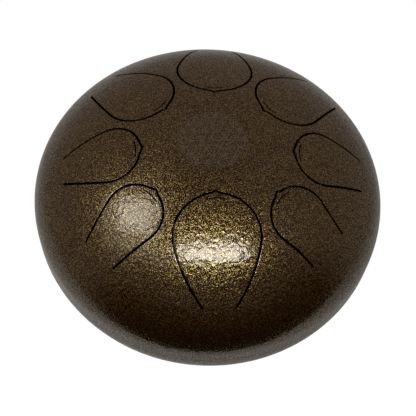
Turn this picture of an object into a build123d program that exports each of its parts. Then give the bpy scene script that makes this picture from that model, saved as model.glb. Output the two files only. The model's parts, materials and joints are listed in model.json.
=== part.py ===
from build123d import *
import os
from math import asin, cos, degrees, pi, radians, sin

# Steel tongue drum, 300 mm across: two pressed steel heads welded at the equator. Eight tongues
# are cut through the top head, each left attached along its root. The bottom head has a sound
# hole with a rubber edge trim, and stands on four rubber feet.
#
# Row frame: +Z up, origin on the floor plane under the drum's axis, longest tongue towards -Y.
# All lengths are millimetres, and all angles are degrees unless a comment says otherwise.

# --- driving dimensions ---------------------------------------------------------------------

OUTER_RADIUS = 150.0
WALL = 2.0
GROUND_CLEARANCE = 3.0      # floor to the lowest point of the full bottom head

# The pressed head, from its pole to its straight flange: three tangent arcs, then the flange.
CROWN_RADIUS = 237.0
CROWN_ANGLE = 23.0          # slope of the skin where the crown meets the shoulder
SHOULDER_RADIUS = 127.0
SHOULDER_ANGLE = 49.0       # slope where the shoulder meets the knuckle
FLANGE = 7.0

# The joint at the equator: a joggled lip of the bottom head slips inside the top head, and a
# V groove round the outside is filled by a weld that is ground flush.
LIP_LENGTH = 8.0
LIP_CLEARANCE = 0.05
JOGGLE_START = 6.0          # below the equator, on the inner face
JOGGLE_END = 3.0
GROOVE_HALF_WIDTH = 1.3
GROOVE_DEPTH = 1.6

# Tongues, anticlockwise seen from above. azimuth is from the front, tip and root are distances
# from the pole along the outer skin, and the half widths are to the middle of the cut.
TONGUES = [
    {"azimuth": 0.0, "tip": 46.0, "root": 137.0, "half_width": 34.0, "root_half_width": 13.0},
    {"azimuth": 46.5, "tip": 67.0, "root": 128.5, "half_width": 24.0, "root_half_width": 19.5},
    {"azimuth": 84.0, "tip": 66.0, "root": 134.0, "half_width": 24.5, "root_half_width": 15.0},
    {"azimuth": 126.0, "tip": 55.0, "root": 135.0, "half_width": 29.5, "root_half_width": 19.0},
    {"azimuth": 175.0, "tip": 52.0, "root": 137.0, "half_width": 32.0, "root_half_width": 15.5},
    {"azimuth": 226.0, "tip": 50.0, "root": 131.5, "half_width": 29.5, "root_half_width": 15.5},
    {"azimuth": 272.0, "tip": 56.0, "root": 127.5, "half_width": 25.0, "root_half_width": 12.5},
    {"azimuth": 312.0, "tip": 62.0, "root": 130.0, "half_width": 24.0, "root_half_width": 16.0},
]
KERF = 2.0
ROOT_GAP = 0.12             # play between a tongue and the head, so that it can turn at its root
PEAK_HEIGHT = 1.9           # small point at the tip, above the round head of the tongue
PEAK_HALF_WIDTH = 7.0
FLANK_START = 12.0          # angle past the widest point where the round head meets the flank
OUTLINE_RUN_ON = 6.0        # how far the flanks run on past the root before they are trimmed
CUT_REACH = 20.0            # depth of the cutting prisms, each way from the tongue's plane

# The short curved slot inside each tongue's tip.
SLOT_RADIUS = 24.0
SLOT_HALF_ANGLE = 17.5
SLOT_WIDTH = 1.1
SLOT_FROM_TIP = 5.7

# Sound hole and its rubber trim.
HOLE_RADIUS = 40.0
TRIM_INNER_RADIUS = 37.5
TRIM_OUTER_RADIUS = 44.5
TRIM_LEG = 1.4
TRIM_ROUND = 0.9

# Feet, each square to the skin, with its sole cut flat on the floor.
FOOT_COUNT = 4
FOOT_START = 45.0           # azimuth of the first foot, from +X
FOOT_CIRCLE_RADIUS = 70.0
FOOT_TOP_RADIUS = 15.0
FOOT_SOLE_RADIUS = 12.5
FOOT_REACH = 32.0           # length of the uncut cone
FOOT_WEB = 6.0              # rubber between the skin and the screw's washer
FOOT_POCKET_RADIUS = 5.8
FOOT_EDGE_ROUND = 1.0

# M5 screw, washers and lock nut of each foot.
SCREW_RADIUS = 2.5
SCREW_HOLE_RADIUS = 2.75
HEAD_RADIUS = 4.6
HEAD_HEIGHT = 3.2
RECESS_WIDTH = 1.1
RECESS_LENGTH = 5.0
RECESS_DEPTH = 1.8
WASHER_RADIUS = 5.0
WASHER_THICKNESS = 1.0
NUT_FLATS = 8.0
NUT_HEIGHT = 5.0
NUT_BORE_RADIUS = 2.52
SCREW_END = 11.0            # how far the shank reaches inside, from the outer skin
SEAT_CLEARANCE = 0.1        # a flat washer touches the curved inner skin only at its rim

# --- derived dimensions ---------------------------------------------------------------------

CROWN = radians(CROWN_ANGLE)
SHOULDER = radians(SHOULDER_ANGLE)
KNUCKLE_RADIUS = (
    OUTER_RADIUS - CROWN_RADIUS * sin(CROWN) - SHOULDER_RADIUS * (sin(SHOULDER) - sin(CROWN))
) / (1 - sin(SHOULDER))
ARCS = [(CROWN_RADIUS, CROWN), (SHOULDER_RADIUS, SHOULDER), (KNUCKLE_RADIUS, pi / 2)]
HEAD_DEPTH = (
    FLANGE
    + CROWN_RADIUS * (1 - cos(CROWN))
    + SHOULDER_RADIUS * (cos(CROWN) - cos(SHOULDER))
    + KNUCKLE_RADIUS * cos(SHOULDER)
)
EQUATOR_Z = GROUND_CLEARANCE + HEAD_DEPTH


def skin_point(along):
    """Radius, height above the equator and slope (radians) of the outer skin, at a distance from the pole."""
    radius, height, slope = 0.0, HEAD_DEPTH, 0.0
    for arc_radius, arc_end in ARCS:
        turn = min(along / arc_radius, arc_end - slope)
        radius += arc_radius * (sin(slope + turn) - sin(slope))
        height -= arc_radius * (cos(slope) - cos(slope + turn))
        slope += turn
        along -= turn * arc_radius
    return radius, height, slope


# --- the two heads --------------------------------------------------------------------------


def skin_curves(inset):
    """The head's meridian from pole to flange, moved inwards by inset, on the XY plane (X is radius)."""
    curves, start, centre = [], 0.0, Vector(0, HEAD_DEPTH - CROWN_RADIUS)
    for number, (arc_radius, arc_end) in enumerate(ARCS):
        if number:
            shift = ARCS[number - 1][0] - arc_radius
            centre += Vector(shift * sin(start), shift * cos(start))
        size = degrees(arc_end - start)
        curves.append(CenterArc(centre, arc_radius - inset, 90 - degrees(arc_end), size))
        start = arc_end
    return curves


def head_wall(rim):
    """One head, pole up, equator at z = 0. rim runs from the outer flange's end to the inner's start."""
    outer_pole, inner_pole = (0, HEAD_DEPTH), (0, HEAD_DEPTH - WALL)
    outer_flange, inner_flange = (OUTER_RADIUS, FLANGE), (OUTER_RADIUS - WALL, FLANGE)
    edge = Polyline([outer_flange, *rim, inner_flange])
    section = make_face([*skin_curves(0), edge, *skin_curves(WALL), Line(inner_pole, outer_pole)])
    return revolve(Plane.XZ * section, Axis.Z)


def full_top_head():
    inner = OUTER_RADIUS - WALL
    rim = [(OUTER_RADIUS, GROOVE_HALF_WIDTH), (OUTER_RADIUS - GROOVE_DEPTH, 0), (inner, 0)]
    return Pos(0, 0, EQUATOR_Z) * head_wall(rim)


def full_bottom_head():
    inner = OUTER_RADIUS - WALL
    lip_outer = inner - LIP_CLEARANCE
    lip_inner = lip_outer - WALL
    rim = [
        (OUTER_RADIUS, GROOVE_HALF_WIDTH),
        (OUTER_RADIUS - GROOVE_DEPTH, 0),
        (lip_outer, 0),
        (lip_outer, -LIP_LENGTH),
        (lip_inner, -LIP_LENGTH),
        (lip_inner, JOGGLE_END),
        (inner, JOGGLE_START),
    ]
    return Pos(0, 0, EQUATOR_Z) * mirror(head_wall(rim), about=Plane.XY)


def equator_weld():
    groove = Polyline(
        [
            (OUTER_RADIUS, -GROOVE_HALF_WIDTH),
            (OUTER_RADIUS, GROOVE_HALF_WIDTH),
            (OUTER_RADIUS - GROOVE_DEPTH, 0),
        ],
        close=True,
    )
    return Pos(0, 0, EQUATOR_Z) * revolve(Plane.XZ * make_face(groove), Axis.Z)


def bottom_crown(offset):
    """A ball on the bottom crown's centre, offset mm outside its outer skin."""
    return Pos(0, 0, GROUND_CLEARANCE + CROWN_RADIUS) * Sphere(CROWN_RADIUS + offset)


# --- tongues --------------------------------------------------------------------------------


def tongue_azimuth(tongue):
    """The tongue's azimuth in radians from +X, where the front of the drum is -Y."""
    return radians(tongue["azimuth"] - 90)


def tongue_frame(tongue):
    """The plane that touches the skin half-way along a tongue: X across it, Y towards its tip, Z outwards."""
    azimuth = tongue_azimuth(tongue)
    radius, height, slope = skin_point((tongue["tip"] + tongue["root"]) / 2)
    return Plane(
        origin=(radius * cos(azimuth), radius * sin(azimuth), EQUATOR_Z + height),
        x_dir=(-sin(azimuth), cos(azimuth), 0),
        z_dir=(sin(slope) * cos(azimuth), sin(slope) * sin(azimuth), cos(slope)),
    )


def frame_y(tongue, along):
    """Where a skin point of the tongue's centre line, so far from the pole, falls on its plane's Y axis."""
    radius, height, _ = skin_point(along)
    mid_radius, mid_height, slope = skin_point((tongue["tip"] + tongue["root"]) / 2)
    return (height - mid_height) * sin(slope) - (radius - mid_radius) * cos(slope)


def tongue_outline(tongue):
    """The middle of the cut as a face: round head with a small peak, and flanks that run on past the root."""
    half_width, tip_y = tongue["half_width"], frame_y(tongue, tongue["tip"])
    root_y = frame_y(tongue, tongue["root"])
    head_y = tip_y - PEAK_HEIGHT - half_width
    peak_turn = asin(PEAK_HALF_WIDTH / half_width)
    flank_turn = radians(FLANK_START)

    peak_foot = (half_width * sin(peak_turn), head_y + half_width * cos(peak_turn))
    peak = TangentArc(peak_foot, (0, tip_y), tangent=(-cos(peak_turn), sin(peak_turn)))
    head = CenterArc((0, head_y), half_width, -FLANK_START, 90 + FLANK_START - degrees(peak_turn))
    flank_top = (half_width * cos(flank_turn), head_y - half_width * sin(flank_turn))
    flank_end = (tongue["root_half_width"], root_y)
    flank = TangentArc(flank_top, flank_end, tangent=(-sin(flank_turn), -cos(flank_turn)))
    run_on = Line(flank_end, Vector(*flank_end) + OUTLINE_RUN_ON * (flank % 1))

    right = [peak, head, flank, run_on]
    left = [mirror(curve, about=Plane.YZ) for curve in right]
    across = Line(run_on @ 1, left[-1] @ 1)
    return make_face([*right, *left, across])


def above(y):
    """The half-plane over y, as a face large enough for any tongue."""
    side = 2 * OUTER_RADIUS
    return Pos(0, y + side / 2) * Rectangle(side, side)


def prism(frame, face):
    return extrude(frame * face, amount=CUT_REACH, both=True)


def tongue_cutters(tongue):
    """The prisms that cut one tongue: its own shape, its curved slot, and the window round it."""
    frame, outline = tongue_frame(tongue), tongue_outline(tongue)
    root_y = frame_y(tongue, tongue["root"])
    tip_y = frame_y(tongue, tongue["tip"])

    body = offset(outline, -KERF / 2) & above(root_y + ROOT_GAP)
    window = offset(outline, KERF / 2) & above(root_y)
    cut_end = Circle(KERF / 2)
    for side in (-1, 1):
        window += Pos(side * tongue["root_half_width"], root_y) * cut_end

    slot_centre = (0, tip_y - SLOT_FROM_TIP - SLOT_RADIUS)
    slot_line = CenterArc(slot_centre, SLOT_RADIUS, 90 - SLOT_HALF_ANGLE, 2 * SLOT_HALF_ANGLE)
    slot = SlotArc(slot_line, SLOT_WIDTH)
    return prism(frame, body), prism(frame, slot), prism(frame, window)


# --- sound hole trim, feet and fasteners ----------------------------------------------------


def hole_cutter(radius):
    return Pos(0, 0, GROUND_CLEARANCE) * Cylinder(radius, 2 * HEAD_DEPTH)


def hole_trim(bottom_shell):
    """A U section of rubber pushed over the sound hole's edge."""
    ring = bottom_crown(TRIM_LEG) - bottom_crown(-WALL - TRIM_LEG)
    ring &= Pos(0, 0, GROUND_CLEARANCE) * Cylinder(TRIM_OUTER_RADIUS, 2 * TRIM_OUTER_RADIUS)
    ring -= hole_cutter(TRIM_INNER_RADIUS)
    ring = fillet(ring.edges(), TRIM_ROUND)
    return ring - bottom_shell


def foot_frame(azimuth):
    """The plane that touches the bottom skin where a foot sits, with Z pointing out of the drum."""
    slope = asin(FOOT_CIRCLE_RADIUS / CROWN_RADIUS)
    height = GROUND_CLEARANCE + CROWN_RADIUS * (1 - cos(slope))
    turn = radians(azimuth)
    return Plane(
        origin=(FOOT_CIRCLE_RADIUS * cos(turn), FOOT_CIRCLE_RADIUS * sin(turn), height),
        x_dir=(-sin(turn), cos(turn), 0),
        z_dir=(sin(slope) * cos(turn), sin(slope) * sin(turn), -cos(slope)),
    )


def standing(radius, low, high):
    """A cylinder along Z from low to high."""
    return Pos(0, 0, low) * Cylinder(radius, high - low, align=(Align.CENTER, Align.CENTER, Align.MIN))


def foot(frame):
    low = -FOOT_TOP_RADIUS / 4
    cone = Pos(0, 0, low) * Cone(
        FOOT_TOP_RADIUS, FOOT_SOLE_RADIUS, FOOT_REACH - low, align=(Align.CENTER, Align.CENTER, Align.MIN)
    )
    side = 4 * FOOT_TOP_RADIUS
    over_floor = Pos(frame.origin.X, frame.origin.Y, side / 2) * Box(side, side, side)
    rubber = (frame * cone) & over_floor
    sole_edges = rubber.edges().group_by(Axis.Z)[0]
    rubber = fillet(sole_edges, FOOT_EDGE_ROUND)
    rubber -= bottom_crown(0)
    rubber -= frame * standing(SCREW_HOLE_RADIUS, low, FOOT_REACH)
    return rubber - frame * standing(FOOT_POCKET_RADIUS, FOOT_WEB, FOOT_REACH)


def foot_screw(frame):
    """Pan-head screw with a cross recess, its head in the foot's pocket."""
    under_head = FOOT_WEB + WASHER_THICKNESS
    head = standing(HEAD_RADIUS, under_head, under_head + HEAD_HEIGHT)
    head = fillet(head.edges().group_by(Axis.Z)[-1], HEAD_HEIGHT / 2)
    shank = standing(SCREW_RADIUS, -SCREW_END, under_head)
    shank = chamfer(shank.edges().group_by(Axis.Z)[0], SCREW_RADIUS / 4)
    bar = Box(RECESS_LENGTH, RECESS_WIDTH, 2 * RECESS_DEPTH)
    recess = Pos(0, 0, under_head + HEAD_HEIGHT) * (bar + Rot(0, 0, 90) * bar)
    return frame * (head + shank - recess)


def washer(frame, low):
    ring = standing(WASHER_RADIUS, low, low + WASHER_THICKNESS)
    return frame * (ring - standing(SCREW_HOLE_RADIUS, low, low + WASHER_THICKNESS))


def lock_nut(frame, low):
    """Hexagon nut whose far end is turned down to the collar that holds its nylon ring."""
    hexagon = extrude(RegularPolygon(NUT_FLATS / 2, 6, major_radius=False), NUT_HEIGHT * 0.7)
    collar = standing(NUT_FLATS / 2, 0, NUT_HEIGHT)
    collar = fillet(collar.edges().group_by(Axis.Z)[-1], NUT_HEIGHT / 8)
    nut = hexagon + collar - standing(NUT_BORE_RADIUS, 0, NUT_HEIGHT)
    return frame * (Pos(0, 0, low) * Rot(180, 0, 0) * nut)


# --- assembly -------------------------------------------------------------------------------


def build():
    """Every node of the drum as {name: solid}."""
    nodes = {}
    head = full_top_head()
    top_shell = head
    for number, tongue in enumerate(TONGUES, 1):
        body, slot, window = tongue_cutters(tongue)
        nodes[f"tongue_{number}"] = (head & body) - slot
        top_shell = top_shell - window
    nodes["top_shell"] = top_shell
    nodes["equator_weld"] = equator_weld()

    bottom_shell = full_bottom_head() - hole_cutter(HOLE_RADIUS)
    for number in range(1, FOOT_COUNT + 1):
        frame = foot_frame(FOOT_START + 360 * (number - 1) / FOOT_COUNT)
        bottom_shell -= frame * standing(SCREW_HOLE_RADIUS, -2 * WALL, WALL)
        inner_washer = -WALL - SEAT_CLEARANCE - WASHER_THICKNESS
        nodes[f"foot_{number}"] = foot(frame)
        nodes[f"foot_screw_{number}"] = foot_screw(frame)
        nodes[f"foot_washer_{number}"] = washer(frame, FOOT_WEB)
        nodes[f"inner_washer_{number}"] = washer(frame, inner_washer)
        nodes[f"lock_nut_{number}"] = lock_nut(frame, inner_washer)
    nodes["bottom_shell"] = bottom_shell
    nodes["hole_trim"] = hole_trim(bottom_shell)
    return nodes


def main():
    os.makedirs("parts", exist_ok=True)
    for name, solid in build().items():
        export_step(solid, f"parts/{name}.step")


if __name__ == "__main__":
    main()
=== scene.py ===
import json
from math import asin, atan2, ceil, cos, pi, radians, sin, sqrt

import bpy
import numpy as np
from mathutils import Matrix, Vector
from mathutils.geometry import delaunay_2d_cdt
from mathutils.kdtree import KDTree


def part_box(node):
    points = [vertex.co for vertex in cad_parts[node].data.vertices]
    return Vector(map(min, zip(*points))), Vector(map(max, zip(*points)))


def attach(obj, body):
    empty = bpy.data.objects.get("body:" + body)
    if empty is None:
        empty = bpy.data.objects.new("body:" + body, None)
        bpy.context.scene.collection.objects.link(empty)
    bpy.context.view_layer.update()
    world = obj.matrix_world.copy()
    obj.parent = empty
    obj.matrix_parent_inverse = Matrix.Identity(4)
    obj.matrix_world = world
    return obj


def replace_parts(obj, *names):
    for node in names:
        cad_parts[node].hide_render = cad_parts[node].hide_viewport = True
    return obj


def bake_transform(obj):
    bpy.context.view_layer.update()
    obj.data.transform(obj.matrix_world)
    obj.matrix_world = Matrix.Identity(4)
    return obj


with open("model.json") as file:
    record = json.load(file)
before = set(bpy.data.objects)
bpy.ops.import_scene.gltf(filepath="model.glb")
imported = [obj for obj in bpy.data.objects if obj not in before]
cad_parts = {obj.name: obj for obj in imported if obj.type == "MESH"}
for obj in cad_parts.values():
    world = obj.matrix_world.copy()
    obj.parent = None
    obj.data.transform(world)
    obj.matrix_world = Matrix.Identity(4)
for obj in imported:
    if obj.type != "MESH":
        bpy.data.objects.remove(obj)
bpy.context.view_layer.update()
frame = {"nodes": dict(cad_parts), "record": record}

# Steel tongue drum. The top head and its eight tongues are built here as one continuous painted
# skin, cut by rounded slits. Everything else is the CAD's own solids with finished materials.
# Lengths are metres and angles are degrees unless a comment says otherwise.

# --- the drum's dimensions, as in the CAD source ------------------------------------------------

OUTER_RADIUS = 0.150
WALL = 0.002
CROWN_RADIUS, CROWN_SLOPE = 0.237, 23.0
SHOULDER_RADIUS, SHOULDER_SLOPE = 0.127, 49.0
FLANGE = 0.007
GROOVE_HALF_WIDTH, GROOVE_DEPTH = 0.0013, 0.0016

# azimuth anticlockwise from the front, distances of the tip and of the root from the pole along the
# skin, and half the width between the middle lines of the slit's two sides, at its widest and at the root
TONGUES = [
    (0.0, 0.0460, 0.1370, 0.0340, 0.0130),
    (46.5, 0.0670, 0.1285, 0.0240, 0.0195),
    (84.0, 0.0660, 0.1340, 0.0245, 0.0150),
    (126.0, 0.0550, 0.1350, 0.0295, 0.0190),
    (175.0, 0.0520, 0.1370, 0.0320, 0.0155),
    (226.0, 0.0500, 0.1315, 0.0295, 0.0155),
    (272.0, 0.0560, 0.1275, 0.0250, 0.0125),
    (312.0, 0.0620, 0.1300, 0.0240, 0.0160),
]
KERF = 0.0020
PEAK_HEIGHT, PEAK_HALF_WIDTH = 0.0019, 0.0070       # of the blunt point at a tongue's tip
FLANK_START = 12.0              # angle past its widest place where a tongue's round head ends
SLOT_RADIUS, SLOT_HALF_ANGLE, SLOT_WIDTH, SLOT_FROM_TIP = 0.024, 17.5, 0.0011, 0.0057

# --- how the paint rounds the edges, and how finely the skin is meshed --------------------------

EDGE_WIDTH = 0.0009             # width of the rounding on the head's side of a slit,
TONGUE_EDGE_WIDTH = 0.0004      # on the tongue's side of it,
SLOT_EDGE_WIDTH = 0.00012       # and round the slot in the tongue's tip
EDGE_DROP = 0.09                # depth of a rounding, as a share of its width
ROUND_FADE = 0.0015             # distance over which it fades out where a slit meets the tongue's root
TIP_SHARE = 0.25                # share of the head's rounding that is left beside a tongue's tip
TIP_REACH = (0.25, 0.50)        # it grows to full between these shares of the way from the tip to the root
GRID_STEP = 0.0025
GRID_GAP = 0.6 * GRID_STEP      # least distance between the grid's places and an edge
OUTLINE_STEP = 0.0010
CAP_STEPS, ROUND_STEPS = 8, 4
PROJECTIONS = 6                 # steps that bring a point of a tongue's plane down to the skin
BEND_LENGTH = 0.010             # a length along a tongue from its root, to a point that is found but not used

EQUATOR = sum(corner.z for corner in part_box("equator_weld")) / 2


# --- the head's skin ----------------------------------------------------------------------------
# A place on the skin is a flat pair: the distance from the pole along the skin, laid out at the
# place's azimuth. Depth is measured inwards from the outer skin, square to it.


def arcs():
    """The meridian's three arcs: radius, first and last slope (radians), centre's radius and height."""
    crown, shoulder = radians(CROWN_SLOPE), radians(SHOULDER_SLOPE)
    reach = CROWN_RADIUS * sin(crown) + SHOULDER_RADIUS * (sin(shoulder) - sin(crown))
    knuckle_radius = (OUTER_RADIUS - reach) / (1 - sin(shoulder))
    found, centre_r, centre_z = [], OUTER_RADIUS - knuckle_radius, FLANGE
    radii = [CROWN_RADIUS, SHOULDER_RADIUS, knuckle_radius]
    slopes = [0.0, crown, shoulder, pi / 2]
    for number in (2, 1, 0):
        found.insert(0, (radii[number], slopes[number], slopes[number + 1], centre_r, centre_z))
        if number:
            shift = radii[number - 1] - radii[number]
            centre_r -= shift * sin(slopes[number])
            centre_z -= shift * cos(slopes[number])
    return found


ARCS = arcs()
ARC_STARTS = np.cumsum([0.0] + [radius * (last - first) for radius, first, last, _, _ in ARCS])
RIM = ARC_STARTS[-1] + FLANGE


def meridian(along):
    """Radius, height above the equator and slope (radians) of the outer skin at distances from the pole."""
    r = np.full_like(along, OUTER_RADIUS)
    z = FLANGE - (along - ARC_STARTS[-1])
    slope = np.full_like(along, pi / 2)
    for (radius, first, _, centre_r, centre_z), start, end in zip(ARCS, ARC_STARTS, ARC_STARTS[1:]):
        here = (along >= start) & (along < end)
        angle = first + (along[here] - start) / radius
        r[here] = centre_r + radius * np.sin(angle)
        z[here] = centre_z + radius * np.cos(angle)
        slope[here] = angle
    return r, z, slope


def on_skin(flat, depth=0.0):
    """Points in space, and outward normals, of flat places at a depth."""
    along, azimuth = np.hypot(*flat.T), np.arctan2(flat[:, 1], flat[:, 0])
    r, z, slope = meridian(along)
    normal = np.stack([np.sin(slope) * np.cos(azimuth), np.sin(slope) * np.sin(azimuth), np.cos(slope)], 1)
    outer = np.stack([r * np.cos(azimuth), r * np.sin(azimuth), EQUATOR + z], 1)
    return outer - normal * np.reshape(depth, (-1, 1)), normal


def nearest_place(points):
    """Flat places nearest to points in space, and the points' distances outside the outer skin."""
    r, z = np.hypot(points[:, 0], points[:, 1]), points[:, 2] - EQUATOR
    along = ARC_STARTS[-1] + FLANGE - z
    outside = r - OUTER_RADIUS
    taken = np.zeros(len(points), bool)
    for (radius, first, last, centre_r, centre_z), start in zip(ARCS, ARC_STARTS):
        slope = np.arctan2(r - centre_r, z - centre_z)
        here = ~taken & (slope <= last)
        along[here] = start + radius * (slope[here] - first)
        outside[here] = np.hypot(r - centre_r, z - centre_z)[here] - radius
        taken |= here
    azimuth = np.arctan2(points[:, 1], points[:, 0])
    return np.stack([along * np.cos(azimuth), along * np.sin(azimuth)], 1), outside


# --- outlines -----------------------------------------------------------------------------------


def smooth(value, low, high):
    """0 up to low, 1 from high, and a smooth step in between."""
    share = np.clip((value - low) / (high - low), 0, 1)
    return share * share * (3 - 2 * share)


def turned(vector, angle):
    """A flat vector, turned anticlockwise by an angle in radians."""
    x, y = vector
    return np.array([x * cos(angle) - y * sin(angle), x * sin(angle) + y * cos(angle)])


def arc_to(start, heading, end):
    """Points from start to end on the arc that leaves start along heading."""
    chord = np.subtract(end, start)
    length = sqrt(chord @ chord)
    half_turn = atan2(heading[0] * chord[1] - heading[1] * chord[0], chord @ heading)
    diameter = length / sin(half_turn)
    count = max(2, ceil(length / OUTLINE_STEP))
    turns = half_turn * np.linspace(0, 1, count + 1)
    return np.array([start + diameter * sin(turn) * turned(heading, turn) for turn in turns])


def circle_arc(centre, radius, first, last):
    """Points on a circle between two angles in radians."""
    count = max(2, ceil(abs(last - first) * radius / OUTLINE_STEP))
    angles = np.linspace(first, last, count + 1)
    return centre + radius * np.stack([np.cos(angles), np.sin(angles)], 1)


def mirrored(line):
    """A line that ends on the Y axis, with its mirror image added."""
    return np.concatenate([line, line[-2::-1] * [-1, 1]])


def joined(*lines):
    """Lines that each start where the one before ends, as one."""
    return np.concatenate([lines[0]] + [line[1:] for line in lines[1:]])


class Tongue:
    """One tongue's slits, in the flat. X across and Y towards the tip are its own plane's axes."""

    def __init__(self, azimuth, tip, root, half_width, root_half_width):
        turn = radians(azimuth - 90)
        self.along_root, self.along_tip = root, tip
        r, z, slope = (float(value[0]) for value in meridian(np.array([(tip + root) / 2])))
        self.origin = np.array([r * cos(turn), r * sin(turn), EQUATOR + z])
        self.across = np.array([-sin(turn), cos(turn), 0.0])
        self.normal = np.array([sin(slope) * cos(turn), sin(slope) * sin(turn), cos(slope)])
        self.up = np.cross(self.normal, self.across)
        self.outward = np.array([cos(turn), sin(turn)])
        self.slit = self.flat(self.slit_line(half_width, root_half_width))
        self.slot = self.flat(self.slot_line())

    def plane_y(self, along):
        """Y, in the tongue's plane, of the skin on its middle line at a distance from the pole."""
        point, _ = on_skin(self.outward[None] * along)
        return float((point[0] - self.origin) @ self.up)

    def flat(self, plane_points):
        """Flat places under points of the tongue's plane, found along the plane's normal."""
        points = self.origin + plane_points[:, :1] * self.across + plane_points[:, 1:] * self.up
        for _ in range(PROJECTIONS):
            flat, outside = nearest_place(points)
            _, normal = on_skin(flat)
            points = points - self.normal * (outside / (normal @ self.normal))[:, None]
        return nearest_place(points)[0]

    def slit_line(self, half_width, root_half_width):
        """The middle of the slit round the tongue, from its right root to its left root."""
        tip_y, root_y = self.plane_y(self.along_tip), self.plane_y(self.along_root)
        centre = np.array([0.0, tip_y - PEAK_HEIGHT - half_width])
        flank, peak = radians(FLANK_START), asin(PEAK_HALF_WIDTH / half_width)
        head = circle_arc(centre, half_width, -flank, pi / 2 - peak)
        side = arc_to(head[0], np.array([-sin(flank), -cos(flank)]), np.array([root_half_width, root_y]))
        point = arc_to(head[-1], np.array([-cos(peak), sin(peak)]), np.array([0.0, tip_y]))
        return mirrored(joined(side[::-1], head, point))

    def slot_line(self):
        """The middle of the short curved slot inside the tongue's tip."""
        half = radians(SLOT_HALF_ANGLE)
        centre = np.array([0.0, self.plane_y(self.along_tip) - SLOT_FROM_TIP - SLOT_RADIUS])
        return circle_arc(centre, SLOT_RADIUS, pi / 2 - half, pi / 2 + half)


def left_normals(line, closed):
    """Mitred normals on the left of a line's points."""
    ahead = np.roll(line, -1, 0) - line
    ahead /= np.linalg.norm(ahead, axis=1, keepdims=True)
    behind = np.roll(ahead, 1, 0)
    if not closed:
        ahead[-1] = behind[-1]
        behind[0] = ahead[0]
    one, two = (np.stack([-d[:, 1], d[:, 0]], 1) for d in (behind, ahead))
    return (one + two) / (1 + np.sum(one * two, 1))[:, None]


def cap(centre, start):
    """Points round the end of a slit, anticlockwise from start to the other side, without those two."""
    angles = np.linspace(0, pi, CAP_STEPS + 1)[1:-1]
    return np.array([centre + turned(start - centre, angle) for angle in angles])


def slit_sides(line, width):
    """The right and left sides of a slit along a line."""
    offset = left_normals(line, False) * width / 2
    return line - offset, line + offset


def seam(start, end):
    """Points across a tongue's root, without its ends."""
    count = max(2, ceil(np.linalg.norm(end - start) / GRID_STEP))
    return start + (end - start) * np.linspace(0, 1, count + 1)[1:-1, None]


def fade(line, sharp, width):
    """Rounding at each point of a closed line: none at sharp points, and full a little way from them."""
    step = np.linalg.norm(np.roll(line, -1, 0) - line, axis=1)
    away = np.where(sharp, 0.0, np.inf)
    for _ in range(2):          # twice both ways, because the line is closed
        for order in (range(len(line)), range(len(line) - 1, -1, -1)):
            for i in order:
                away[i] = min(away[i], away[i - 1] + step[i - 1], away[(i + 1) % len(line)] + step[i])
    return width * smooth(away, 0, ROUND_FADE)


def along_tongue(tongue, line):
    """The rounding's share at each point of a line: little beside the tip, and full from mid-tongue on."""
    along = (np.hypot(*line.T) - tongue.along_tip) / (tongue.along_root - tongue.along_tip)
    return TIP_SHARE + (1 - TIP_SHARE) * smooth(along, *TIP_REACH)


def window_edge(tongue):
    """The edge of the head's steel round a tongue, with the steel on its left, and its rounding."""
    outer, inner = slit_sides(tongue.slit, KERF)
    root = seam(inner[-1], inner[0])
    last_cap, first_cap = cap(tongue.slit[-1], outer[-1]), cap(tongue.slit[0], inner[0])
    line = np.concatenate([outer, last_cap, inner[-1:], root, inner[:1], first_cap])
    sharp = np.zeros(len(line), bool)
    start = len(outer) + len(last_cap)
    sharp[start:start + len(root) + 2] = True
    rounding = fade(line, sharp, EDGE_WIDTH) * along_tongue(tongue, line)
    return line[::-1], rounding[::-1]


def tongue_edge(tongue):
    """The tongue's own edge, with the steel on its left, and its rounding. It skips the places next to the
    tip's corner, where the rounding's inner rim would cross itself."""
    _, inner = slit_sides(tongue.slit, KERF)
    reach = KERF / 2 + TONGUE_EDGE_WIDTH
    _, rim = slit_sides(tongue.slit, 2 * reach)
    apart = np.linalg.norm(rim[:, None] - tongue.slit, axis=2).min(1)
    nearly_reach = 0.999 * reach
    inner = inner[apart > nearly_reach]
    root = seam(inner[-1], inner[0])
    line = np.concatenate([inner, root])
    sharp = np.arange(len(line)) >= len(inner) - 1
    sharp[0] = True
    return line, fade(line, sharp, TONGUE_EDGE_WIDTH)


def slot_edge(tongue):
    """The edge of the slot in a tongue's tip, with the steel on its left, and its rounding."""
    right, left = slit_sides(tongue.slot, SLOT_WIDTH)
    last_cap, first_cap = cap(tongue.slot[-1], right[-1]), cap(tongue.slot[0], left[0])
    line = np.concatenate([right, last_cap, left[::-1], first_cap])
    return line[::-1], np.full(len(line), SLOT_EDGE_WIDTH)


# --- plates of steel ----------------------------------------------------------------------------


def rounded_rings(edge, rounding):
    """Rings of (flat, depth, normal) down a cut edge, from the outer skin over the rounding to the inner
    skin."""
    into = left_normals(edge, True)
    nudge = OUTLINE_STEP / 100
    ahead, _ = on_skin(edge + into * nudge)
    here, normal = on_skin(edge)
    into_steel = (ahead - here) / np.linalg.norm(ahead - here, axis=1, keepdims=True)
    drop = rounding.max() * EDGE_DROP
    rings = []
    for angle in np.linspace(0, pi / 2, ROUND_STEPS + 1):
        flat = edge + into * (rounding * (1 - sin(angle)))[:, None]
        facing = normal * cos(angle) - into_steel * sin(angle) * EDGE_DROP
        facing /= np.linalg.norm(facing, axis=1, keepdims=True)
        rings.append((flat, np.full(len(edge), drop * (1 - cos(angle))), facing))
    rings.append((edge, np.full(len(edge), WALL), -into_steel))
    return rings


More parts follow.
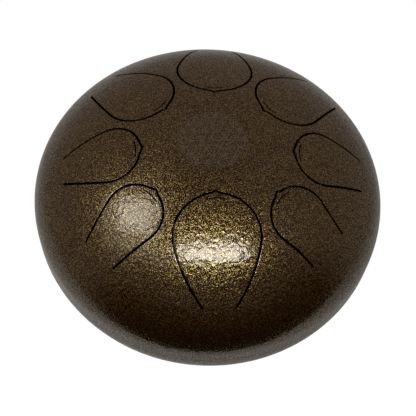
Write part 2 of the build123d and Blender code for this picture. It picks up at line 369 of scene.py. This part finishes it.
def rim_rings():
    """Rings down the head's rim: the outer skin's end, the weld groove's slope and the inner skin's end."""
    count = round(2 * pi * RIM / GRID_STEP)
    angles = np.arange(count) * 2 * pi / count
    round_the_rim = np.stack([np.cos(angles), np.sin(angles)], 1)
    down = np.tile([0.0, 0.0, -1.0], (count, 1))
    places = [(RIM - GROOVE_HALF_WIDTH, 0.0), (RIM, GROOVE_DEPTH), (RIM, WALL)]
    return [(round_the_rim * along, np.full(count, depth), down) for along, depth in places]


def grid():
    """Flat places all over the head, in rings about the pole."""
    places = [np.zeros((1, 2))]
    for number in range(1, int((RIM - GROOVE_HALF_WIDTH) / GRID_STEP)):
        count = round(2 * pi * number)
        angles = (np.arange(count) + number % 2 / 2) * 2 * pi / count
        places.append(number * GRID_STEP * np.stack([np.cos(angles), np.sin(angles)], 1))
    return np.concatenate(places)


def inside(points, line):
    """Which points are inside a closed line."""
    found = np.zeros(len(points), bool)
    x, y = points.T
    for (x1, y1), (x2, y2) in zip(line, np.roll(line, -1, 0)):
        if y1 != y2:
            crosses = ((y1 > y) != (y2 > y)) & (x < x1 + (y - y1) * (x2 - x1) / (y2 - y1))
            found ^= crosses
    return found


def clear_of(points, lines, gap):
    """The points that are at least gap from every point of the lines."""
    tree = KDTree(sum(len(line) for line in lines))
    for number, (x, y) in enumerate(np.concatenate(lines)):
        tree.insert((x, y, 0), number)
    tree.balance()
    return np.array([p for p in points if tree.find((*p, 0))[2] > gap])


def triangles(flat, lines, kept):
    """Triangles over flat places that keep to the closed lines, where kept says so of their middles. The
    lines' points come first among the places."""
    edges, start = [], 0
    for line in lines:
        count = len(line)
        edges += [(start + i, start + (i + 1) % count) for i in range(count)]
        start += count
    all_triangles, weld_gap = 0, 1e-9
    corners = [Vector(place) for place in flat]
    _, _, faces, sources, _, _ = delaunay_2d_cdt(corners, edges, [], all_triangles, weld_gap)
    found = np.array([[sources[i][0] for i in face] for face in faces])
    return found[kept(flat[found].mean(1))]


def plate(name, loops, places, kept):
    """A closed plate between the outer and the inner skin. loops are its edges, each as rings. Its points
    carry their depth, for the painted shade on the slits' walls."""
    lines = [rings[0][0] for rings in loops]
    flat = np.concatenate([*lines, places])
    under = np.concatenate([*(rings[-1][0] for rings in loops), places])
    top, top_normal = on_skin(flat)
    bottom, bottom_normal = on_skin(under, WALL)
    points, count = [top, bottom], len(flat)
    depths = [np.zeros(count), np.full(count, WALL)]
    faces, normals = [], []
    for corners in triangles(flat, lines, kept):
        faces.append(tuple(corners))
        normals += [top_normal[i] for i in corners]
    for corners in [face[::-1] for face in faces]:
        faces.append(tuple(i + count for i in corners))
        normals += [-bottom_normal[i] for i in corners]
    # bands of four-sided faces down each edge, from the outer skin's points to the inner skin's
    start, free = 0, 2 * count
    for rings in loops:
        size = len(rings[0][0])
        firsts = [start] + [free + size * i for i in range(len(rings) - 2)] + [start + count]
        free += size * (len(rings) - 2)
        points += [on_skin(ring, depth)[0] for ring, depth, _ in rings[1:-1]]
        depths += [depth for _, depth, _ in rings[1:-1]]
        for upper, lower, (_, _, high), (_, _, low) in zip(firsts, firsts[1:], rings, rings[1:]):
            for i in range(size):
                j = (i + 1) % size
                faces.append((upper + i, lower + i, lower + j, upper + j))
                normals += [high[i], low[i], low[j], high[j]]
        start += size
    mesh = bpy.data.meshes.new(name)
    mesh.from_pydata(np.concatenate(points).tolist(), [], [tuple(int(i) for i in face) for face in faces])
    mesh.normals_split_custom_set([tuple(normal) for normal in normals])
    depth_of_points = mesh.attributes.new("depth", "FLOAT", "POINT")
    depth_of_points.data.foreach_set("value", np.concatenate(depths).astype("f4"))
    piece = bpy.data.objects.new(name, mesh)
    bpy.context.scene.collection.objects.link(piece)
    return piece


def build_blade(number, tongue, everywhere):
    """One tongue's skin, a closed plate."""
    outline, slot = tongue_edge(tongue), slot_edge(tongue)
    loops = [rounded_rings(*outline), rounded_rings(*slot)]

    def in_blade(points):
        return inside(points, outline[0]) & ~inside(points, slot[0])

    places = clear_of(everywhere[in_blade(everywhere)], [rings[0][0] for rings in loops], GRID_GAP)
    blade = plate(f"tongue_{number}_blade", loops, places, in_blade)
    bend = [tongue.outward * tongue.along_root, tongue.outward * (tongue.along_root - BEND_LENGTH)]
    (root, bend_end), _ = on_skin(np.array(bend), WALL / 2)
    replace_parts(blade, f"tongue_{number}")
    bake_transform(blade)
    return blade


def build_head():
    """The top head's skin and the tongues, each a closed plate that stands for its CAD node."""
    tongues = [Tongue(*dimensions) for dimensions in TONGUES]
    everywhere = grid()
    windows = [window_edge(tongue) for tongue in tongues]
    edges = [edge for edge, _ in windows]
    loops = [rim_rings()] + [rounded_rings(*window) for window in windows]

    def in_head(points):
        return ~np.any([inside(points, edge) for edge in edges], 0)

    places = clear_of(everywhere[in_head(everywhere)], [rings[0][0] for rings in loops], GRID_GAP)
    head = plate("top_head_skin", loops, places, in_head)
    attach(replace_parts(head, "top_shell"), "shell")
    return head, [build_blade(number, tongue, everywhere) for number, tongue in enumerate(tongues, 1)]


# --- materials ----------------------------------------------------------------------------------
# Colours are linear. A noise's scale is its number of cells in a metre.

DARK_ENAMEL = (0.0165, 0.0022, 0.0005, 1)
DULL_GOLD, BRIGHT_GOLD = (0.055, 0.037, 0.0110, 1), (0.350, 0.270, 0.0920, 1)
# the second colour is a painted shade: near black, laid on the slits' walls where their shadow falls
PRINT, SLIT_SHADE = (0.082, 0.072, 0.062, 1), (0.004, 0.003, 0.002, 1)
FLECK_SCALE, TILT_SCALE, RIPPLE_SCALE = 1150.0, 1500.0, 240.0
FLECK_EDGE = (0.49, 0.56)       # values of the noise between which a fleck begins
GOLD_RANGE = (0.35, 0.65)       # values of the tilt over which the gold brightens
TILT_IN_GRAIN = 0.30            # share of the tilt in the flecks' bump, beside the ripple
GRAIN_HEIGHT, RIPPLE_HEIGHT = 0.00035, 0.00024
SLIT_SHADE_REACH = (0.0002, 0.0008)  # depths in a slit over which the painted shade sets in, in place of the slit's shadow
ROSETTE_RADIUS, ROSETTE_STEP, ROSETTE_LINE = 0.0275, 0.0090, 0.0004
DISC_COVER, LINE_COVER = 0.45, 0.6     # how much of the flecks the rosette's disc and its lines hide

RUBBER, DUSTY_RUBBER = (0.016, 0.016, 0.017, 1), (0.040, 0.039, 0.037, 1)
RUBBER_GRAIN_SCALE, RUBBER_GRAIN_HEIGHT = 1400.0, 0.00008
DUST_SCALE, DUST_FROM = 45.0, (0.45, 0.75)
RUBBER_ROUGHNESS, RUBBER_SPREAD = 0.55, 0.25        # least roughness, and what the grain adds to it

BLUE_ZINC, YELLOW_ZINC = (0.50, 0.51, 0.54, 1), (0.70, 0.69, 0.66, 1)
CLOUD_SCALE, SPANGLE_SCALE, SPANGLE_HEIGHT = 250.0, 1800.0, 0.00003
ZINC_ROUGHNESS, ZINC_SPREAD = 0.22, 0.25            # least roughness, and what the clouds add to it


class Nodes:
    """A node tree, with short calls for the nodes that are used here."""

    def __init__(self, tree):
        self.tree = tree

    def link(self, value, socket):
        """Give a socket a node's output or a plain value."""
        if isinstance(value, bpy.types.NodeSocket):
            self.tree.links.new(value, socket)
        else:
            socket.default_value = value

    def place(self, kind="Object"):
        return self.tree.nodes.new("ShaderNodeTexCoord").outputs[kind]

    def set(self, **values):
        """Set inputs of the Principled shader by name, with _ for a space."""
        shader = self.tree.nodes["Principled BSDF"]
        for name, value in values.items():
            self.link(value, shader.inputs[name.replace("_", " ")])

    def noise(self, scale, detail=2.0, roughness=0.5, distortion=0.0):
        node = self.tree.nodes.new("ShaderNodeTexNoise")
        self.link(self.place(), node.inputs["Vector"])
        node.inputs["Scale"].default_value = scale
        node.inputs["Detail"].default_value = detail
        node.inputs["Roughness"].default_value = roughness
        node.inputs["Distortion"].default_value = distortion
        return node.outputs["Fac"]

    def attribute(self, name):
        node = self.tree.nodes.new("ShaderNodeAttribute")
        node.attribute_name = name
        return node.outputs["Fac"]

    def math(self, operation, *values):
        node = self.tree.nodes.new("ShaderNodeMath")
        node.operation = operation
        for value, socket in zip(values, node.inputs):
            self.link(value, socket)
        return node.outputs[0]

    def vector(self, operation, *values):
        node = self.tree.nodes.new("ShaderNodeVectorMath")
        node.operation = operation
        for value, socket in zip(values, node.inputs):
            self.link(value, socket)
        gives_number = operation in ("LENGTH", "DOT_PRODUCT", "DISTANCE")
        return node.outputs["Value" if gives_number else "Vector"]

    def ramp(self, value, low, high):
        """0 up to low, 1 from high, and a smooth step in between."""
        node = self.tree.nodes.new("ShaderNodeMapRange")
        node.interpolation_type = "SMOOTHSTEP"
        self.link(value, node.inputs["Value"])
        node.inputs["From Min"].default_value = low
        node.inputs["From Max"].default_value = high
        return node.outputs["Result"]

    def mix(self, share, one, two):
        """A share of colour two over colour one."""
        node = self.tree.nodes.new("ShaderNodeMix")
        node.data_type = "RGBA"
        colour_one, colour_two, colour_out = node.inputs[6], node.inputs[7], node.outputs[2]
        self.link(share, node.inputs["Factor"])
        self.link(one, colour_one)
        self.link(two, colour_two)
        return colour_out

    def mix_shaders(self, share, one, two):
        """A share of shader two over shader one."""
        node = self.tree.nodes.new("ShaderNodeMixShader")
        for value, socket in zip((share, one, two), node.inputs):
            self.link(value, socket)
        return node.outputs[0]

    def bump(self, height, distance):
        node = self.tree.nodes.new("ShaderNodeBump")
        self.link(height, node.inputs["Height"])
        node.inputs["Distance"].default_value = distance
        return node.outputs["Normal"]


def new_material(name):
    material = bpy.data.materials.new(name)
    material.use_nodes = True
    return material, Nodes(material.node_tree)


def rosette(nodes):
    """Masks of the rosette printed round the pole: its disc, and its lines. They are a lattice of equal
    circles, each through its neighbours' centres."""
    step, place = ROSETTE_STEP, nodes.place()
    flat = nodes.vector("MULTIPLY", place, (1.0, 1.0, 0.0))
    # the circles' centres are the middles of two grids of oblong tiles, and the nearer one counts
    half = (step / 2, step * sqrt(3) / 2, 1.0)
    tiles = [nodes.vector("WRAP", nodes.vector("ADD", flat, shift), half, (-half[0], -half[1], -1.0))
             for shift in ((0.0, 0.0, 0.0), (half[0], half[1], 0.0))]
    nearer = nodes.math("LESS_THAN", *(nodes.vector("LENGTH", tile) for tile in tiles))
    tile = nodes.vector("ADD", tiles[1], nodes.vector("MULTIPLY", nodes.vector("SUBTRACT", *tiles), nearer))
    off_line = step
    for turn in range(0, 360, 60):      # the six neighbours' circles meet in the tile
        centre = (step * cos(radians(turn)), step * sin(radians(turn)), 0.0)
        off_circle = nodes.math("SUBTRACT", nodes.vector("DISTANCE", tile, centre), step)
        to_circle = nodes.math("ABSOLUTE", off_circle)
        off_line = nodes.math("MINIMUM", off_line, to_circle)
    inside_edge = nodes.math("SUBTRACT", ROSETTE_RADIUS, nodes.vector("LENGTH", flat))
    on_top = nodes.math("GREATER_THAN", nodes.vector("DOT_PRODUCT", place, (0.0, 0.0, 1.0)), EQUATOR)
    disc = nodes.math("MULTIPLY", on_top, nodes.ramp(inside_edge, 0.0, ROSETTE_LINE))
    off_line = nodes.math("MINIMUM", off_line, inside_edge)
    line = nodes.math("SUBTRACT", 1.0, nodes.ramp(off_line, ROSETTE_LINE / 2, ROSETTE_LINE))
    return disc, nodes.math("MULTIPLY", disc, line)


def hammertone(name):
    """Bronze hammertone enamel: curled golden flecks with dark gaps between them, under a glossy rippled
    surface. The flecks are metallic and lie at slightly different tilts. Deep in the slits it is painted
    near black, without coat or metal, as a painted shade where the slits' shadow falls."""
    material, nodes = new_material(name)
    disc, lines = rosette(nodes)
    folds = nodes.noise(FLECK_SCALE, detail=0.0, distortion=0.35)
    shown = nodes.math("SUBTRACT", 1.0, nodes.math("MULTIPLY", disc, DISC_COVER))
    flecks = nodes.math("MULTIPLY", nodes.ramp(folds, *FLECK_EDGE), shown)
    tilt = nodes.noise(TILT_SCALE, detail=0.0)
    gold = nodes.mix(nodes.ramp(tilt, *GOLD_RANGE), DULL_GOLD, BRIGHT_GOLD)
    enamel = nodes.mix(flecks, DARK_ENAMEL, gold)
    print_share = nodes.math("MULTIPLY", lines, LINE_COVER)
    printed = nodes.mix(print_share, enamel, PRINT)
    # painted shade: with depth in a slit the colour goes to near black and the coat and metal fade out,
    # standing in for the slit's shadow
    painted_slit_shade = nodes.ramp(nodes.attribute("depth"), *SLIT_SHADE_REACH)
    colour = nodes.mix(painted_slit_shade, printed, SLIT_SHADE)
    ripple = nodes.noise(RIPPLE_SCALE, detail=1.0, distortion=0.6)
    grain = nodes.math("MULTIPLY_ADD", tilt, TILT_IN_GRAIN, ripple)
    # the print hides the flecks' metal, and the painted slit shade takes it away
    print_and_slit_shade = nodes.math("MAXIMUM", print_share, painted_slit_shade)
    metal = nodes.math("MULTIPLY", flecks, nodes.math("SUBTRACT", 1.0, print_and_slit_shade))
    nodes.set(Base_Color=colour, Metallic=metal, Roughness=0.33, Specular_IOR_Level=0.0)
    nodes.set(Normal=nodes.bump(grain, GRAIN_HEIGHT), Coat_Roughness=0.12, Coat_IOR=1.5)
    nodes.set(Coat_Weight=nodes.math("SUBTRACT", 1.0, painted_slit_shade))
    nodes.set(Coat_Normal=nodes.bump(ripple, RIPPLE_HEIGHT))
    return material


def rubber(name):
    """Dusty black rubber with a fine moulded grain."""
    material, nodes = new_material(name)
    grain = nodes.noise(RUBBER_GRAIN_SCALE, detail=4.0, roughness=0.7)
    dust = nodes.ramp(nodes.noise(DUST_SCALE, detail=5.0, roughness=0.65), *DUST_FROM)
    rough = nodes.math("MULTIPLY_ADD", grain, RUBBER_SPREAD, RUBBER_ROUGHNESS)
    nodes.set(Base_Color=nodes.mix(dust, RUBBER, DUSTY_RUBBER), Roughness=rough)
    nodes.set(Normal=nodes.bump(grain, RUBBER_GRAIN_HEIGHT))
    return material


def zinc(name):
    """Bright zinc plate, clouded, with fine spangles."""
    material, nodes = new_material(name)
    cloud = nodes.noise(CLOUD_SCALE, detail=4.0, roughness=0.6)
    spangle = nodes.noise(SPANGLE_SCALE)
    rough = nodes.math("MULTIPLY_ADD", cloud, ZINC_SPREAD, ZINC_ROUGHNESS)
    nodes.set(Base_Color=nodes.mix(cloud, BLUE_ZINC, YELLOW_ZINC), Metallic=1.0, Roughness=rough)
    nodes.set(Normal=nodes.bump(spangle, SPANGLE_HEIGHT))
    return material


def finish_pieces(head, blades):
    """Paint the head and the tongues, and give every CAD piece the material that its slot names."""
    paint = hammertone("hammertone_enamel")
    finishes = {
        "hammertone_paint": paint,
        "black_rubber": rubber("moulded_rubber"),
        "zinc_steel": zinc("zinc_plate"),
    }
    for piece in [head, *blades]:
        piece.data.materials.append(paint)
    for part in frame["record"]["subparts"]:
        for slot in frame["nodes"][part["node"]].material_slots:
            slot.material = finishes[part["material_slot"]]


# --- stage, lights and camera -------------------------------------------------------------------

CENTRE = Vector((0, 0, EQUATOR))
VIEW_AZIMUTH, VIEW_ELEVATION, VIEW_ROLL = -6.7, 58.38, 4.23
VIEW_DISTANCE = 0.750
AIM_DROP = 0.0092               # distance of the point aimed at below the centre, in the view
LENS, SENSOR = 73.57, 36.0      # millimetres
NEAREST_SEEN = 0.01

LAMP_DISTANCE = 1.3
LAMP_COLOUR = (1.0, 0.95, 0.89)
LAMPS = {                       # azimuth, elevation, size, radiance, share that fades at an edge, roll
    "key_soft_box": (4.0, 67.8, (0.74, 0.245), 10.8, 0.10, -4.0),
    "left_soft_box": (-90.0, 59.0, (0.44, 0.54), 4.1, 0.25, -20.0),
    "left_reflector": (-80.0, 52.0, (1.10, 1.00), 1.0, 0.50, -20.0),
    "front_left_reflector": (-45.0, 56.0, (0.60, 0.50), 0.6, 0.50, 0.0),
}

TABLE_FRONT, TABLE_BACK, TABLE_SIDE = 0.230, 1.2, 1.2
TABLE_DROP = 0.0002             # keeps the table clear of the feet's soles
GREY_PAPER, PALE_PAPER, PAPER_SCALE = (0.57, 0.58, 0.61, 1), (0.61, 0.62, 0.65, 1), 60.0
GLOW_FROM = (0.062, 0.088)      # distances from the drum's axis between which the blown-out table sets in
GLOW = 1.02                     # just past white

PALE_WALL, DARK_WALL = (0.275, 0.225, 0.195, 1), (0.008, 0.006, 0.005, 1)
CEILING = (0.110, 0.100, 0.098, 1)
DARK_AZIMUTH = 4.5              # the middle of the studio's dark side
DARK_FROM = (0.13, 0.60)        # cosines of the angle from it between which the dark sets in
DARK_FADE = (0.32, 0.60)        # sines of the elevation between which it weakens,
DARK_LOSS = 0.42                # by this share
CEILING_FROM = (0.86, 0.985)    # sines of the elevation between which the ceiling sets in


def direction(azimuth, elevation):
    """Unit vector away from the drum: azimuth from the front towards +X."""
    turn, rise = radians(azimuth), radians(elevation)
    return Vector((sin(turn) * cos(rise), -cos(turn) * cos(rise), sin(rise)))


def add_camera():
    """A camera that looks at the drum from above its front, a little rolled."""
    back = direction(VIEW_AZIMUTH, VIEW_ELEVATION)
    right = Vector((0, 0, 1)).cross(back).normalized()
    up = back.cross(right)
    roll = radians(VIEW_ROLL)
    rolled_up = up * cos(roll) - right * sin(roll)
    place = CENTRE + back * VIEW_DISTANCE
    back = (place - (CENTRE - rolled_up * AIM_DROP)).normalized()
    right = rolled_up.cross(back).normalized()
    up = back.cross(right)
    data = bpy.data.cameras.new("camera")
    data.lens, data.sensor_width = LENS, SENSOR
    data.clip_start = NEAREST_SEEN
    camera = bpy.data.objects.new("camera", data)
    camera.matrix_world = Matrix.Translation(place) @ Matrix((right, up, back)).transposed().to_4x4()
    bpy.context.scene.collection.objects.link(camera)
    bpy.context.scene.camera = camera


def soft_box(name, azimuth, elevation, size, radiance, edge, roll):
    """A rectangular lamp that faces the drum and fades out over a share of its size at its edges. Without
    roll its width is level."""
    data = bpy.data.lights.new(name, "AREA")
    data.shape = "RECTANGLE"
    data.size, data.size_y = size
    data.energy = 4 * radiance * data.size * data.size_y        # what gives a lamp this radiance
    data.color = LAMP_COLOUR
    data.use_nodes = True
    nodes = Nodes(data.node_tree)
    parts = nodes.tree.nodes.new("ShaderNodeSeparateXYZ")
    nodes.link(nodes.tree.nodes.new("ShaderNodeNewGeometry").outputs["Parametric"], parts.inputs[0])
    glow = 1.0
    for part in (parts.outputs["X"], parts.outputs["Y"]):
        to_edge = nodes.math("SUBTRACT", 0.5, nodes.math("ABSOLUTE", nodes.math("SUBTRACT", part, 0.5)))
        glow = nodes.math("MULTIPLY", glow, nodes.ramp(to_edge, 0.0, edge))
    nodes.link(glow, nodes.tree.nodes["Emission"].inputs["Strength"])
    lamp = bpy.data.objects.new(name, data)
    back = direction(azimuth, elevation)
    right = Vector((0, 0, 1)).cross(back).normalized()
    turned_right = right * cos(radians(roll)) + back.cross(right) * sin(radians(roll))
    turn = Matrix((turned_right, back.cross(turned_right), back)).transposed().to_4x4()
    lamp.matrix_world = Matrix.Translation(CENTRE + back * LAMP_DISTANCE) @ turn
    lamp.visible_camera = False
    bpy.context.scene.collection.objects.link(lamp)


def add_lights():
    for name, lamp in LAMPS.items():
        soft_box(name, *lamp)


def camera_ray(nodes):
    """1 where the camera looks straight at a surface, and 0 in reflections and shadows."""
    return nodes.tree.nodes.new("ShaderNodeLightPath").outputs["Is Camera Ray"]


def add_table():
    """A pale table top, square to the view, whose front edge is near the drum."""
    front, back, side = -TABLE_FRONT, TABLE_BACK, TABLE_SIDE
    mesh = bpy.data.meshes.new("table_top")
    corners = [(-side, front), (side, front), (side, back), (-side, back)]
    mesh.from_pydata([(x, y, -TABLE_DROP) for x, y in corners], [], [(0, 1, 2, 3)])
    table = bpy.data.objects.new("table_top", mesh)
    table.rotation_euler.z = radians(VIEW_AZIMUTH)
    bpy.context.scene.collection.objects.link(table)
    table.data.materials.append(white_paper())


def white_paper():
    """Pale paper. The camera sees it blown out to white, except under the drum, and clear from below."""
    material, nodes = new_material("white_paper")
    paper = nodes.mix(nodes.noise(PAPER_SCALE, detail=4.0), GREY_PAPER, PALE_PAPER)
    nodes.set(Base_Color=paper, Roughness=0.9)
    glow = nodes.tree.nodes.new("ShaderNodeEmission")
    glow.inputs["Strength"].default_value = GLOW
    open_table = nodes.ramp(nodes.vector("LENGTH", nodes.place()), *GLOW_FROM)
    blown_out = nodes.math("MULTIPLY", camera_ray(nodes), open_table)
    principled = nodes.tree.nodes["Principled BSDF"].outputs[0]
    from_above = nodes.mix_shaders(blown_out, principled, glow.outputs[0])
    below = nodes.tree.nodes.new("ShaderNodeNewGeometry").outputs["Backfacing"]
    clear = nodes.tree.nodes.new("ShaderNodeBsdfTransparent").outputs[0]
    one_sided = nodes.mix_shaders(below, from_above, clear)
    nodes.link(one_sided, nodes.tree.nodes["Material Output"].inputs["Surface"])
    return material


def add_world():
    """A studio that is dark low down at the front and pale elsewhere. The camera sees plain white."""
    world = bpy.data.worlds.new("studio")
    bpy.context.scene.world = world
    world.use_nodes = True
    nodes = Nodes(world.node_tree)
    way = nodes.place("Generated")
    front = nodes.vector("DOT_PRODUCT", way, tuple(direction(DARK_AZIMUTH, 0)))
    height = nodes.vector("DOT_PRODUCT", way, (0.0, 0.0, 1.0))
    depth_of_dark = nodes.math("MULTIPLY_ADD", nodes.ramp(height, *DARK_FADE), -DARK_LOSS, 1.0)
    dark = nodes.math("MULTIPLY", nodes.ramp(front, *DARK_FROM), depth_of_dark)
    walls = nodes.mix(dark, PALE_WALL, DARK_WALL)
    room = nodes.mix(nodes.ramp(height, *CEILING_FROM), walls, CEILING)
    seen = nodes.mix(camera_ray(nodes), room, (1.0, 1.0, 1.0, 1))
    nodes.link(seen, nodes.tree.nodes["Background"].inputs["Color"])


add_camera()
add_world()
add_table()
add_lights()
bpy.context.scene.view_settings.view_transform = "Standard"
finish_pieces(*build_head())
